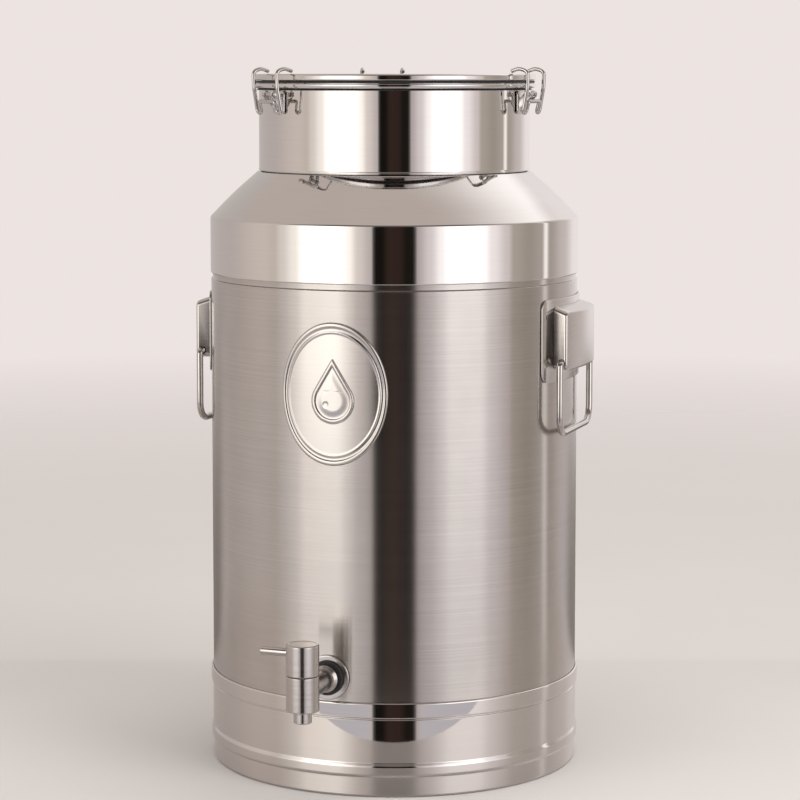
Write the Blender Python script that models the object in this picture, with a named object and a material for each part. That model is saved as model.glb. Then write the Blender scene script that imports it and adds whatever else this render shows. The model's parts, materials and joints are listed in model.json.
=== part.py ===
"""Stainless-steel milk can with a clamped lid, two folding side handles and a bottom tap.

The can stands upright with its tap towards -Y and its side handles on -X (left) and +X (right).
Heights below are measured up from the floor. The origin of the finished part is the centre of
the bottom plate's flat underside, FOOT_DROP above the floor, so everything hangs on one empty
that is moved down by FOOT_DROP.
"""

import math

import bmesh
import bpy
from mathutils import Matrix, Vector

MM = 0.001

# Shells
SEGMENTS = 48
SHEET = 1.2 * MM
BODY_RADIUS = 165 * MM
SHOULDER_RADIUS = 165.5 * MM
NECK_RADIUS = 121.5 * MM
RIM_RADIUS = 127 * MM
JOGGLE = 1.4 * MM
FOOT_DROP = 12 * MM
BEAD_LOW = 17.5 * MM
BEAD_HIGH = 30 * MM
FLANGE_LOW = 68.3 * MM
RING_TOP = 82.5 * MM
SEAM_LOW = 434.8 * MM
SEAM_HIGH = 440.3 * MM
CONE_LOW = 490 * MM
CONE_HIGH = 531.4 * MM
NECK_TOP = 609 * MM
LID_UNDERSIDE = NECK_TOP + 2.6 * MM
LID_TOP = NECK_TOP + 8.4 * MM
DISH_FLOOR = NECK_TOP - 8 * MM

# Lid handle
LID_HANDLE_WIRE = 2.5 * MM
LID_HANDLE_PIVOT = Vector((0, 30 * MM, DISH_FLOOR + 4.6 * MM))
LID_HANDLE_REACH = 55 * MM
LID_HANDLE_HALF_SPAN = 46 * MM
LUG_INNER = 35 * MM
LUG_OUTER = 41 * MM

# Latches, drawn in a plane through the can's axis: millimetres out from the axis and up from the
# neck's rim
LATCH_AZIMUTHS = (-36.5, 83.5, 203.5)
PIN = (132.0, -9.5)
EYE = (135.2, -15.5)
PIN_RADIUS = 2.0 * MM
HOOK_WIRE = 1.75 * MM
HOOK_HALF_SPAN = 19 * MM
HOOK_LEG_HALF_SPAN = 12.5 * MM
LEVER_HALF_WIDTH = 9 * MM
LEVER_SHEET = 1.3 * MM

# Side handles
HANDLE_MIDDLE = 386 * MM
HANDLE_PLATE = (124 * MM, 72.5 * MM)
HOUSING_SIZE = (93.6 * MM, 55.2 * MM)
HOUSING_LOW = 360.7 * MM
HOUSING_RADIUS = 180.4 * MM
HOUSING_WALL = 1.2 * MM
BAIL_PIVOT = (168.8 * MM, 367 * MM)
BAIL_WIRE = 3 * MM
BAIL_END = 44 * MM
BAIL_HALF_SPAN = 52 * MM
BAIL_DROP = 62 * MM

# Badge
BADGE_MIDDLE = 347.1 * MM
BADGE_SIZE = (96 * MM, 123 * MM)

# Tap, which stands a little to the left of the badge
TAP_TURN = math.radians(-1.6)
TAP_HEIGHT = 103 * MM
TAP_AXIS_Y = -223 * MM
TAP_RADIUS = 14 * MM
STEM_RADIUS = 10.5 * MM
SPOUT_LOW = 76.9 * MM
TAP_LOW = 87.2 * MM
TAP_HIGH = 117.2 * MM
KNOB_LOW = 117.6 * MM
KNOB_HIGH = 144 * MM
TAP_LEVER_HEIGHT = 135.8 * MM
TAP_LEVER_REACH = 37.5 * MM
TAP_LEVER_RADIUS = 3.6 * MM
PORT_RADIUS = 5 * MM
WASHER_RADIUS = 19.5 * MM
GASKET_RADIUS = 15 * MM
STEM_CLEARANCE = 0.4 * MM

BRUSHED = ("brushed_steel", (0.60, 0.585, 0.57), 0.32)
POLISHED = ("polished_steel", (0.76, 0.75, 0.74), 0.08)
SATIN = ("satin_steel", (0.68, 0.66, 0.65), 0.22)
RUBBER = ("black_rubber", (0.015, 0.015, 0.016), 0.6)


# Tools -------------------------------------------------------------------------------------


def clear_scene():
    for obj in list(bpy.data.objects):
        bpy.data.objects.remove(obj, do_unlink=True)


def material(part_name, finish):
    slot, colour, roughness = finish
    made = bpy.data.materials.new(f"{part_name}_{slot}")
    made.use_nodes = True
    shader = made.node_tree.nodes["Principled BSDF"]
    shader.inputs["Base Color"].default_value = (*colour, 1)
    shader.inputs["Roughness"].default_value = roughness
    shader.inputs["Metallic"].default_value = 0 if finish is RUBBER else 1
    return made


def add_part(name, mesh, finish, location=(0, 0, 0), turn=0.0):
    """A named object at a place in the can, turned about the vertical."""
    part = bpy.data.objects.new(name, mesh.copy())
    bpy.context.scene.collection.objects.link(part)
    part.data.name = name
    part.data.materials.clear()
    part.data.materials.append(material(name, finish))
    part.data.shade_smooth()
    part.data.set_sharp_from_angle(angle=math.radians(35))
    part.location = location
    part.rotation_euler.z = turn
    part.parent = bpy.data.objects["can_frame"]
    return part


def mesh_of(shape):
    bmesh.ops.recalc_face_normals(shape, faces=shape.faces)
    mesh = bpy.data.meshes.new("shape")
    shape.to_mesh(mesh)
    shape.free()
    return mesh


def lathe(profile, segments=SEGMENTS, closed=True):
    """Turns (radius, height) points about Z. An open profile starts and ends on the axis."""
    shape = bmesh.new()
    rings = []
    for radius, height in profile:
        if radius == 0:
            rings.append([shape.verts.new((0, 0, height))] * segments)
            continue
        angles = [math.tau * step / segments for step in range(segments)]
        ring = [(radius * math.cos(a), radius * math.sin(a), height) for a in angles]
        rings.append([shape.verts.new(point) for point in ring])
    following = rings[1:] + rings[:1] if closed else rings[1:]
    for ring, after in zip(rings, following):
        for step in range(segments):
            corner = (step + 1) % segments
            face = [ring[step], ring[corner], after[corner], after[step]]
            shape.faces.new(dict.fromkeys(face))
    return mesh_of(shape)


def prism(outline, axis, low, high):
    """A 2-D outline extruded along X, Y or Z; its plane keeps the other two axes in order."""

    def place(u, v, w):
        return {"X": (w, u, v), "Y": (u, w, v), "Z": (u, v, w)}[axis]

    shape = bmesh.new()
    floor = shape.faces.new([shape.verts.new(place(u, v, low)) for u, v in outline])
    raised = bmesh.ops.extrude_face_region(shape, geom=[floor])["geom"]
    lifted = [item for item in raised if isinstance(item, bmesh.types.BMVert)]
    bmesh.ops.translate(shape, vec=Vector(place(0, 0, high - low)), verts=lifted)
    return mesh_of(shape)


def circle(radius, centre=(0, 0), segments=12):
    angles = [math.tau * (step + 0.5) / segments for step in range(segments)]
    return [(centre[0] + radius * math.cos(a), centre[1] + radius * math.sin(a)) for a in angles]


def ellipse(half_width, half_height, centre=(0, 0), segments=28):
    unit = circle(1, (0, 0), segments)
    return [(centre[0] + half_width * u, centre[1] + half_height * v) for u, v in unit]


def rod(radius, axis, low, high, centre=(0, 0), segments=12):
    return prism(circle(radius, centre, segments), axis, low, high)


def filleted(corners, radii, steps=4):
    """A path through corners, each inner corner rounded to its own radius."""
    points = [Vector(corner) for corner in corners]
    path = [points[0]]
    for before, corner, after, radius in zip(points, points[1:], points[2:], radii):
        back = (before - corner).normalized()
        ahead = (after - corner).normalized()
        half = back.angle(ahead) / 2
        centre = corner + (back + ahead).normalized() * (radius / math.sin(half))
        start = corner + back * (radius / math.tan(half)) - centre
        end = corner + ahead * (radius / math.tan(half)) - centre
        bends = [start.slerp(end, step / steps).normalized() for step in range(steps + 1)]
        path += [centre + radius * bend for bend in bends]
    return path + [points[-1]]


def strip(path, thickness):
    """The outline of a sheet of this thickness whose middle follows a 2-D path."""
    points = [Vector(point) for point in path]
    left, right = [], []
    for index, point in enumerate(points):
        ahead = points[min(index + 1, len(points) - 1)] - points[max(index - 1, 0)]
        side = Vector((-ahead.y, ahead.x)).normalized() * (thickness / 2)
        left.append(point + side)
        right.append(point - side)
    return [tuple(point) for point in left + right[::-1]]


def rounded_rectangle(size, radius, centre=(0, 0), steps=4):
    outline = []
    for quarter, (along, up) in enumerate(((1, 1), (-1, 1), (-1, -1), (1, -1))):
        middle = (centre[0] + along * (size[0] / 2 - radius), centre[1] + up * (size[1] / 2 - radius))
        for step in range(steps + 1):
            angle = math.radians(90) * (quarter + step / steps)
            outline.append((middle[0] + radius * math.cos(angle), middle[1] + radius * math.sin(angle)))
    return outline


def wire(path, radius):
    """A round bar along a path, with flat ends."""
    curve = bpy.data.curves.new("wire", "CURVE")
    curve.dimensions = "3D"
    curve.bevel_depth = radius
    curve.bevel_resolution = 2
    curve.use_fill_caps = True
    spline = curve.splines.new("POLY")
    spline.points.add(len(path) - 1)
    for point, place in zip(spline.points, path):
        point.co = (*place, 1)
    return evaluated(bpy.data.objects.new("wire", curve))


def evaluated(obj):
    """The object's mesh with its modifiers applied; the object itself is removed."""
    bpy.context.scene.collection.objects.link(obj)
    bpy.context.view_layer.update()
    graph = bpy.context.evaluated_depsgraph_get()
    mesh = bpy.data.meshes.new_from_object(obj.evaluated_get(graph), depsgraph=graph)
    bpy.data.objects.remove(obj, do_unlink=True)
    return mesh


def combined(mesh, *steps):
    """The mesh after each (operation, other mesh) Boolean in turn."""
    obj = bpy.data.objects.new("combined", mesh)
    others = []
    for operation, other in steps:
        helper = bpy.data.objects.new("helper", other)
        bpy.context.scene.collection.objects.link(helper)
        boolean = obj.modifiers.new(operation, "BOOLEAN")
        boolean.operation = operation
        boolean.solver = "EXACT"
        boolean.object = helper
        others.append(helper)
    result = evaluated(obj)
    for helper in others:
        bpy.data.objects.remove(helper, do_unlink=True)
    return result


def band(inner, outer, low, high):
    """A plain cylindrical ring."""
    return lathe([(inner, low), (outer, low), (outer, high), (inner, high)])


def join(*meshes):
    return combined(meshes[0], *(("UNION", mesh) for mesh in meshes[1:]))


def drilled(mesh, *cutters):
    return combined(mesh, *(("DIFFERENCE", cutter) for cutter in cutters))


def moved(mesh, matrix):
    mesh.transform(matrix)
    return mesh


def facing(azimuth):
    """The turn about Z that points a part's +X away from the can at this azimuth from the tap."""
    return math.radians(azimuth - 90)


def around(azimuth, radius, height):
    angle = facing(azimuth)
    return Vector((radius * math.cos(angle), radius * math.sin(angle), height))


# Can ---------------------------------------------------------------------------------------


def make_body_shell():
    lap = BODY_RADIUS - JOGGLE
    profile = [
        (lap - SHEET, FOOT_DROP),
        (lap, FOOT_DROP),
        (lap, RING_TOP - 2 * MM),
        (BODY_RADIUS, RING_TOP - 0.5 * MM),
        (BODY_RADIUS, SEAM_LOW),
        (lap, SEAM_LOW + 0.8 * MM),
        (lap, SEAM_HIGH + 7 * MM),
        (lap - SHEET, SEAM_HIGH + 7 * MM),
        (lap - SHEET, SEAM_LOW - 1 * MM),
        (BODY_RADIUS - SHEET, SEAM_LOW - 2.5 * MM),
        (BODY_RADIUS - SHEET, RING_TOP + 1 * MM),
        (lap - SHEET, RING_TOP - 1 * MM),
    ]
    ends = (-BODY_RADIUS - 10 * MM, -BODY_RADIUS + 30 * MM)
    stem_hole = rod(STEM_RADIUS + 0.5 * MM, "Y", *ends, (0, TAP_HEIGHT), 20)
    stem_hole = moved(stem_hole, Matrix.Rotation(TAP_TURN, 4, "Z"))
    add_part("body_shell", drilled(lathe(profile), stem_hole), BRUSHED)


def make_bottom_plate():
    edge = BODY_RADIUS - JOGGLE - SHEET - 0.4 * MM
    profile = [
        (0, FOOT_DROP),
        (edge - 4 * MM, FOOT_DROP),
        (edge, FOOT_DROP + 4 * MM),
        (edge, FOOT_DROP + 16 * MM),
        (edge - SHEET, FOOT_DROP + 16 * MM),
        (edge - SHEET, FOOT_DROP + 5 * MM),
        (edge - 5 * MM, FOOT_DROP + SHEET),
        (0, FOOT_DROP + SHEET),
    ]
    add_part("bottom_plate", lathe(profile, closed=False), SATIN)


def make_base_ring():
    inner = BODY_RADIUS - JOGGLE + 0.4 * MM
    outer = BODY_RADIUS + 0.5 * MM
    proud = BODY_RADIUS + 2 * MM
    profile = [
        (BODY_RADIUS - 7.5 * MM, 0),
        (BODY_RADIUS - 0.5 * MM, 0),
        (BODY_RADIUS, 1 * MM),
        (BODY_RADIUS, BEAD_LOW),
        (outer + 1.2 * MM, BEAD_LOW + 3.5 * MM),
        (outer + 1.2 * MM, BEAD_HIGH - 4 * MM),
        (outer, BEAD_HIGH),
        (outer, FLANGE_LOW),
        (proud, FLANGE_LOW + 1.5 * MM),
        (proud, RING_TOP - 2 * MM),
        (proud - 1 * MM, RING_TOP),
        (BODY_RADIUS + 0.3 * MM, RING_TOP),
        (BODY_RADIUS + 0.3 * MM, RING_TOP - 2.5 * MM),
        (inner, RING_TOP - 4 * MM),
        (inner, 1.5 * MM),
        (BODY_RADIUS - 7.5 * MM, 1.5 * MM),
    ]
    add_part("base_ring", lathe(profile), POLISHED)


def make_shoulder_shell():
    """The polished band above the seam, the cone, and a short collar that fits inside the neck."""
    inner = SHOULDER_RADIUS - SHEET
    collar = NECK_RADIUS - SHEET - 0.4 * MM
    profile = [
        (inner, SEAM_HIGH),
        (SHOULDER_RADIUS, SEAM_HIGH),
        (SHOULDER_RADIUS, CONE_LOW - 4 * MM),
        (SHOULDER_RADIUS - 1.3 * MM, CONE_LOW - 0.6 * MM),
        (NECK_RADIUS + 1.2 * MM, CONE_HIGH - 0.8 * MM),
        (collar, CONE_HIGH - 0.2 * MM),
        (collar, CONE_HIGH + 8 * MM),
        (collar - SHEET, CONE_HIGH + 8 * MM),
        (collar - SHEET, CONE_HIGH - 1.4 * MM),
        (NECK_RADIUS, CONE_HIGH - 2.1 * MM),
        (inner - 1.1 * MM, CONE_LOW - 1.2 * MM),
        (inner, CONE_LOW - 4.4 * MM),
    ]
    add_part("shoulder_shell", lathe(profile), POLISHED)


def make_neck_ring():
    """The neck, flared at its top into a rolled rim that carries the lid's seal."""
    inner = NECK_RADIUS - SHEET
    profile = [
        (inner, CONE_HIGH + 0.4 * MM),
        (NECK_RADIUS, CONE_HIGH + 0.4 * MM),
        (NECK_RADIUS, NECK_TOP - 5.5 * MM),
        (NECK_RADIUS + 1 * MM, NECK_TOP - 4 * MM),
        (RIM_RADIUS - 0.8 * MM, NECK_TOP - 3.8 * MM),
        (RIM_RADIUS, NECK_TOP - 2.5 * MM),
        (RIM_RADIUS, NECK_TOP - 1 * MM),
        (RIM_RADIUS - 1 * MM, NECK_TOP),
        (NECK_RADIUS, NECK_TOP),
        (inner, NECK_TOP - 1.5 * MM),
    ]
    add_part("neck_ring", lathe(profile), POLISHED)


def curved_sheet(outline, inner, outer):
    """A sheet bent round the can at +X, cut to an outline of (sideways, height) points."""
    heights = [height for _, height in outline]
    ring = band(inner, outer, min(heights) - 1 * MM, max(heights) + 1 * MM)
    return combined(ring, ("INTERSECT", prism(outline, "X", BODY_RADIUS / 2, BODY_RADIUS * 2)))


def make_badge():
    outline = ellipse(BADGE_SIZE[0] / 2, BADGE_SIZE[1] / 2, (0, BADGE_MIDDLE))
    plate = curved_sheet(outline, BODY_RADIUS + 0.4 * MM, BODY_RADIUS + 1.6 * MM)
    add_part("badge_plate", plate, POLISHED, turn=facing(0))


# Lid ---------------------------------------------------------------------------------------


def make_lid():
    plug = NECK_RADIUS - SHEET - 1.5 * MM
    profile = [
        (0, DISH_FLOOR - 1.5 * MM),
        (plug - 1.8 * MM, DISH_FLOOR - 1.5 * MM),
        (plug, DISH_FLOOR + 0.5 * MM),
        (plug, LID_UNDERSIDE - 0.8 * MM),
        (plug + 1 * MM, LID_UNDERSIDE),
        (RIM_RADIUS - 0.8 * MM, LID_UNDERSIDE),
        (RIM_RADIUS, LID_UNDERSIDE + 1 * MM),
        (RIM_RADIUS, LID_TOP - 1 * MM),
        (RIM_RADIUS - 0.8 * MM, LID_TOP),
        (plug + 0.7 * MM, LID_TOP),
        (plug - 1.4 * MM, LID_TOP - 2 * MM),
        (plug - 1.4 * MM, DISH_FLOOR + 1.5 * MM),
        (plug - 3 * MM, DISH_FLOOR),
        (0, DISH_FLOOR),
    ]
    add_part("lid", lathe(profile, closed=False), POLISHED)


def make_lid_gasket():
    gasket = band(NECK_RADIUS, RIM_RADIUS - 0.8 * MM, NECK_TOP + 0.3 * MM, LID_UNDERSIDE - 0.3 * MM)
    add_part("lid_gasket", gasket, RUBBER)


def make_lid_handle():
    y, z = LID_HANDLE_PIVOT.yz
    low = DISH_FLOOR + 0.3 * MM
    outline = [(y - 5.5 * MM, low), (y + 5.5 * MM, low), (y + 4.5 * MM, z + 2 * MM)]
    outline += [(y + 2.5 * MM, z + 4.5 * MM), (y - 2.5 * MM, z + 4.5 * MM), (y - 4.5 * MM, z + 2 * MM)]
    bore = (LID_HANDLE_WIRE + 0.5 * MM, "X")
    for side, ends in (("left", (-LUG_OUTER, -LUG_INNER)), ("right", (LUG_INNER, LUG_OUTER))):
        hole = rod(*bore, ends[0] - 1 * MM, ends[1] + 1 * MM, (y, z))
        add_part(f"lid_handle_lug_{side}", drilled(prism(outline, "X", *ends), hole), SATIN)
    span, reach = LID_HANDLE_HALF_SPAN, LID_HANDLE_REACH
    end = LUG_INNER - 2 * MM
    corners = [(end, 0, 0), (span, 0, 0), (span, -reach, 0), (-span, -reach, 0), (-span, 0, 0), (-end, 0, 0)]
    grip = wire(filleted(corners, (4 * MM, 12 * MM, 12 * MM, 4 * MM)), LID_HANDLE_WIRE)
    add_part("lid_handle", grip, POLISHED, LID_HANDLE_PIVOT)


# Latches -----------------------------------------------------------------------------------


def bracket_mesh():
    """A plate on the neck with two ears that carry the latch's pin, drawn from the pin."""
    back = NECK_RADIUS + 0.5 * MM - PIN[0] * MM
    front = back + 1.5 * MM
    plate = prism(rounded_rectangle((18 * MM, 20 * MM), 3 * MM, (0, -7 * MM)), "X", back, front)
    nose = 3.4 * MM
    ear = [(back + 0.5 * MM, -14 * MM), (front + 1.5 * MM, -12 * MM)]
    ear += [(nose * math.cos(a), nose * math.sin(a)) for a in map(math.radians, range(-50, 111, 20))]
    ear += [(back + 0.5 * MM, -0.5 * MM)]
    ears = [prism(ear, "Y", low, low + 1.3 * MM) for low in (-6.9 * MM, 5.6 * MM)]
    hole = rod(PIN_RADIUS + 0.4 * MM, "Y", -10 * MM, 10 * MM)
    return drilled(join(plate, *ears), hole)


def lever_mesh():
    """A folded strip with a web outside, two flanges and an oval thumb tab, drawn from the pin."""

    def local(points):
        return [((out - PIN[0]) * MM, (up - PIN[1]) * MM) for out, up in points]

    middle = local([(136.8, -5.1), (138.5, -6.8), (138.2, -15.0), (127.4, -47.8), (136.0, -50.9)])
    path = filleted([(*point, 0) for point in middle], (1.2 * MM, 8 * MM, 3 * MM), 2)
    web = prism(strip([point.xy for point in path], LEVER_SHEET), "Y", -LEVER_HALF_WIDTH, LEVER_HALF_WIDTH)
    side = local([(136.4, -5.1), (138.3, -7.0), (138.1, -15.0), (127.9, -46.0), (126.6, -45.5)])
    side += local([(128.6, -29.0), (131.0, -18.0), (128.2, -11.0), (128.6, -6.7), (131.0, -5.0)])
    width = LEVER_HALF_WIDTH
    flanges = [prism(side, "Y", low, low + LEVER_SHEET) for low in (-width, width - LEVER_SHEET)]
    slope = math.radians(20)
    tab = prism(ellipse(12 * MM, 12 * MM, segments=20), "Z", -LEVER_SHEET / 2, LEVER_SHEET / 2)
    tab_centre = local([(139.6, -52.2)])[0]
    place = Matrix.Translation((tab_centre[0], 0, tab_centre[1])) @ Matrix.Rotation(slope, 4, "Y")
    pin_hole = rod(PIN_RADIUS + 0.4 * MM, "Y", -15 * MM, 15 * MM)
    eye_hole = rod(HOOK_WIRE + 0.45 * MM, "Y", -15 * MM, 15 * MM, local([EYE])[0])
    return drilled(join(web, *flanges, moved(tab, place)), pin_hole, eye_hole)


def hook_mesh():
    """One bent wire: over the lid's rim, down, round and back up to the lever on each side."""

    def local(out, up, sideways):
        return ((out - EYE[0]) * MM, sideways, (up - EYE[1]) * MM)

    half = [
        local(121.5, 10.6, HOOK_HALF_SPAN),
        local(136.9, 11.6, HOOK_HALF_SPAN),
        local(136.3, -4.0, HOOK_HALF_SPAN),
        local(132.4, -25.5, HOOK_HALF_SPAN),
        local(132.4, -25.5, HOOK_LEG_HALF_SPAN),
        (0, HOOK_LEG_HALF_SPAN, 0),
    ]
    radii = [8 * MM, 25 * MM, 3.2 * MM, 3.2 * MM, 2 * MM]
    corners = half + [(x, -y, z) for x, y, z in reversed(half)]
    return wire(filleted(corners, radii + radii[::-1], 2), HOOK_WIRE)


def make_latches():
    bracket, lever, hook = bracket_mesh(), lever_mesh(), hook_mesh()
    pin = rod(PIN_RADIUS, "Y", -9.7 * MM, 9.7 * MM, segments=12)
    for number, azimuth in enumerate(LATCH_AZIMUTHS, 1):
        turn = facing(azimuth)
        at_pin = around(azimuth, PIN[0] * MM, NECK_TOP + PIN[1] * MM)
        at_eye = around(azimuth, EYE[0] * MM, NECK_TOP + EYE[1] * MM)
        add_part(f"latch_bracket_{number}", bracket, SATIN, at_pin, turn)
        add_part(f"latch_pin_{number}", pin, SATIN, at_pin, turn)
        add_part(f"latch_lever_{number}", lever, SATIN, at_pin, turn)
        add_part(f"latch_hook_{number}", hook, POLISHED, at_eye, turn)


# Side handles --------------------------------------------------------------------------------


def housing_mesh():
    """A pressed cover, open towards the can, with a hole for the bail in each end wall."""
    width, height = HOUSING_SIZE
    middle = (0, HOUSING_LOW + height / 2)
    corner = 5 * MM
    outline = rounded_rectangle(HOUSING_SIZE, corner, middle)
    outer = curved_sheet(outline, BODY_RADIUS + 2.2 * MM, HOUSING_RADIUS)
    hollow_size = (width - 2 * HOUSING_WALL, height - 2 * HOUSING_WALL)
    hollow_outline = rounded_rectangle(hollow_size, corner - HOUSING_WALL, middle)
    hollow = curved_sheet(hollow_outline, BODY_RADIUS - 10 * MM, HOUSING_RADIUS - HOUSING_WALL)
    holes = rod(BAIL_WIRE + 0.4 * MM, "Y", -width, width, BAIL_PIVOT, 20)
    return drilled(outer, hollow, holes)


def bail_mesh():
    """A wire loop whose turned-in ends hang in the housing."""
    half = [(0, BAIL_END, 0), (0, BAIL_HALF_SPAN, 0), (0, BAIL_HALF_SPAN, -BAIL_DROP)]
    corners = half + [(x, -y, z) for x, y, z in reversed(half)]
    return wire(filleted(corners, (4 * MM, 15 * MM, 15 * MM, 4 * MM)), BAIL_WIRE)


def make_side_handles():
    plate = curved_sheet(
        rounded_rectangle(HANDLE_PLATE, 9 * MM, (0, HANDLE_MIDDLE)),
        BODY_RADIUS + 0.4 * MM,
        BODY_RADIUS + 1.9 * MM,
    )
    housing, bail = housing_mesh(), bail_mesh()
    for side, azimuth in (("left", -90), ("right", 90)):
        turn = facing(azimuth)
        add_part(f"handle_plate_{side}", plate, SATIN, turn=turn)
        add_part(f"handle_housing_{side}", housing, SATIN, turn=turn)
        add_part(f"handle_bail_{side}", bail, POLISHED, around(azimuth, *BAIL_PIVOT), turn)


# Tap -----------------------------------------------------------------------------------------


def along_stem(profile, segments=20):
    """Turns (radius, distance out from the can's axis) points about the tap's inlet."""
    turned = lathe(profile, segments)
    return moved(turned, Matrix.Translation((0, 0, TAP_HEIGHT)) @ Matrix.Rotation(math.radians(90), 4, "X"))


def add_stem_washer(name, finish, radius, near, far):
    """A flat ring round the stem, between two distances out from the can's wall."""
    bore = STEM_RADIUS + STEM_CLEARANCE
    near, far = BODY_RADIUS + near, BODY_RADIUS + far
    ring = along_stem([(bore, near), (radius, near), (radius, far), (bore, far)])
    add_part(name, ring, finish, turn=TAP_TURN)


def make_tap_fittings():
    add_stem_washer("tap_washer", POLISHED, WASHER_RADIUS, 0.5 * MM, 2 * MM)
    add_stem_washer("tap_outer_gasket", RUBBER, GASKET_RADIUS, 2.3 * MM, 5.3 * MM)
    add_stem_washer("tap_inner_gasket", RUBBER, GASKET_RADIUS, -4.5 * MM, -2.5 * MM)
    near, far = -BODY_RADIUS + 4.8 * MM, -BODY_RADIUS + 12.8 * MM
    nut = prism(circle(17 * MM, (0, TAP_HEIGHT), 6), "Y", near, far)
    ends = (near - 1 * MM, far + 1 * MM)
    bore = rod(STEM_RADIUS + STEM_CLEARANCE, "Y", *ends, (0, TAP_HEIGHT), 20)
    add_part("tap_nut", drilled(nut, bore), SATIN, turn=TAP_TURN)


def tap_place():
    """Where the tap's upright axis meets the floor."""
    return Matrix.Rotation(TAP_TURN, 3, "Z") @ Vector((0, TAP_AXIS_Y, 0))


def make_tap_body():
    """A barrel with a chamber for the plug, on a stem that passes through the can's wall."""
    wall = BODY_RADIUS
    axis = -TAP_AXIS_Y
    stem = along_stem(
        [
            (PORT_RADIUS, wall - 17 * MM),
            (STEM_RADIUS, wall - 17 * MM),
            (STEM_RADIUS, wall + 5.6 * MM),
            (STEM_RADIUS + 1.3 * MM, wall + 5.6 * MM),
            (STEM_RADIUS + 1.3 * MM, wall + 8.5 * MM),
            (STEM_RADIUS - 1.5 * MM, wall + 10 * MM),
            (STEM_RADIUS - 0.5 * MM, axis - 5 * MM),
            (PORT_RADIUS, axis - 5 * MM),
        ]
    )
    barrel = rod(TAP_RADIUS, "Z", TAP_LOW, TAP_HIGH, segments=24)
    barrel = moved(barrel, Matrix.Translation((0, TAP_AXIS_Y, 0)))
    centre = (0, TAP_AXIS_Y)
    chamber = rod(10 * MM, "Z", TAP_LOW + 9 * MM, TAP_HIGH + 1 * MM, centre, 20)
    outlet = rod(PORT_RADIUS, "Z", TAP_LOW - 1 * MM, TAP_LOW + 10 * MM, centre)
    inlet = rod(PORT_RADIUS, "Y", -axis + 5 * MM, -axis + 20 * MM, (0, TAP_HEIGHT), 20)
    body = drilled(join(barrel, stem), chamber, outlet, inlet)
    add_part("tap_body", body, SATIN, turn=TAP_TURN)
    spout = [(7.65 * MM, SPOUT_LOW), (7.65 * MM, TAP_LOW - 0.3 * MM)]
    spout = lathe(spout + [(PORT_RADIUS, height) for _, height in reversed(spout)], 16)
    add_part("tap_spout", spout, SATIN, tap_place(), TAP_TURN)


def make_tap_key():
    """The knob, its lever and the ported plug, which turn together about the tap's upright axis."""
    place = (tap_place(), TAP_TURN)
    bore = 4.4 * MM
    bore_top = KNOB_LOW + 12.5 * MM
    knob_profile = [
        (0, bore_top),
        (bore, bore_top),
        (bore, KNOB_LOW),
        (TAP_RADIUS - 0.6 * MM, KNOB_LOW),
        (TAP_RADIUS, KNOB_LOW + 0.6 * MM),
        (TAP_RADIUS, KNOB_HIGH - 1.5 * MM),
        (TAP_RADIUS - 1.5 * MM, KNOB_HIGH),
        (0, KNOB_HIGH),
    ]
    ends = (-TAP_RADIUS - 2 * MM, -7 * MM)
    socket = rod(TAP_LEVER_RADIUS + 0.4 * MM, "X", *ends, (0, TAP_LEVER_HEIGHT))
    knob = drilled(lathe(knob_profile, 24, closed=False), socket)
    add_part("tap_knob", knob, SATIN, *place)
    reach = -TAP_LEVER_REACH
    lever_profile = [
        (0, -7.5 * MM),
        (TAP_LEVER_RADIUS, -7.5 * MM),
        (TAP_LEVER_RADIUS, reach + 1 * MM),
        (TAP_LEVER_RADIUS - 1 * MM, reach),
        (0, reach),
    ]
    sideways = Matrix.Rotation(math.radians(90), 4, "Y")
    raised = Matrix.Translation((0, 0, TAP_LEVER_HEIGHT)) @ sideways
    lever = moved(lathe(lever_profile, 12, closed=False), raised)
    add_part("tap_lever", lever, POLISHED, *place)
    plug_low, plug_high = TAP_LOW + 9.4 * MM, TAP_HIGH - 0.4 * MM
    spindle_top = bore_top - 0.5 * MM
    plug_profile = [
        (0, plug_low),
        (9.5 * MM, plug_low),
        (9.5 * MM, plug_high),
        (4 * MM, plug_high),
        (4 * MM, spindle_top),
        (0, spindle_top),
    ]
    down = rod(PORT_RADIUS, "Z", plug_low - 1 * MM, TAP_HEIGHT + 1 * MM)
    across = rod(PORT_RADIUS, "X", -1 * MM, 12 * MM, (0, TAP_HEIGHT))
    plug = drilled(lathe(plug_profile, 20, closed=False), down, across)
    add_part("tap_plug", plug, SATIN, *place)


def main():
    clear_scene()
    can_frame = bpy.data.objects.new("can_frame", None)
    bpy.context.scene.collection.objects.link(can_frame)
    can_frame.location.z = -FOOT_DROP
    make_body_shell()
    make_bottom_plate()
    make_base_ring()
    make_shoulder_shell()
    make_neck_ring()
    make_badge()
    make_lid()
    make_lid_gasket()
    make_lid_handle()
    make_latches()
    make_side_handles()
    make_tap_fittings()
    make_tap_body()
    make_tap_key()


main()
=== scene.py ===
import json
import math

import bmesh
import bpy
from mathutils import Matrix, Vector


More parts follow.
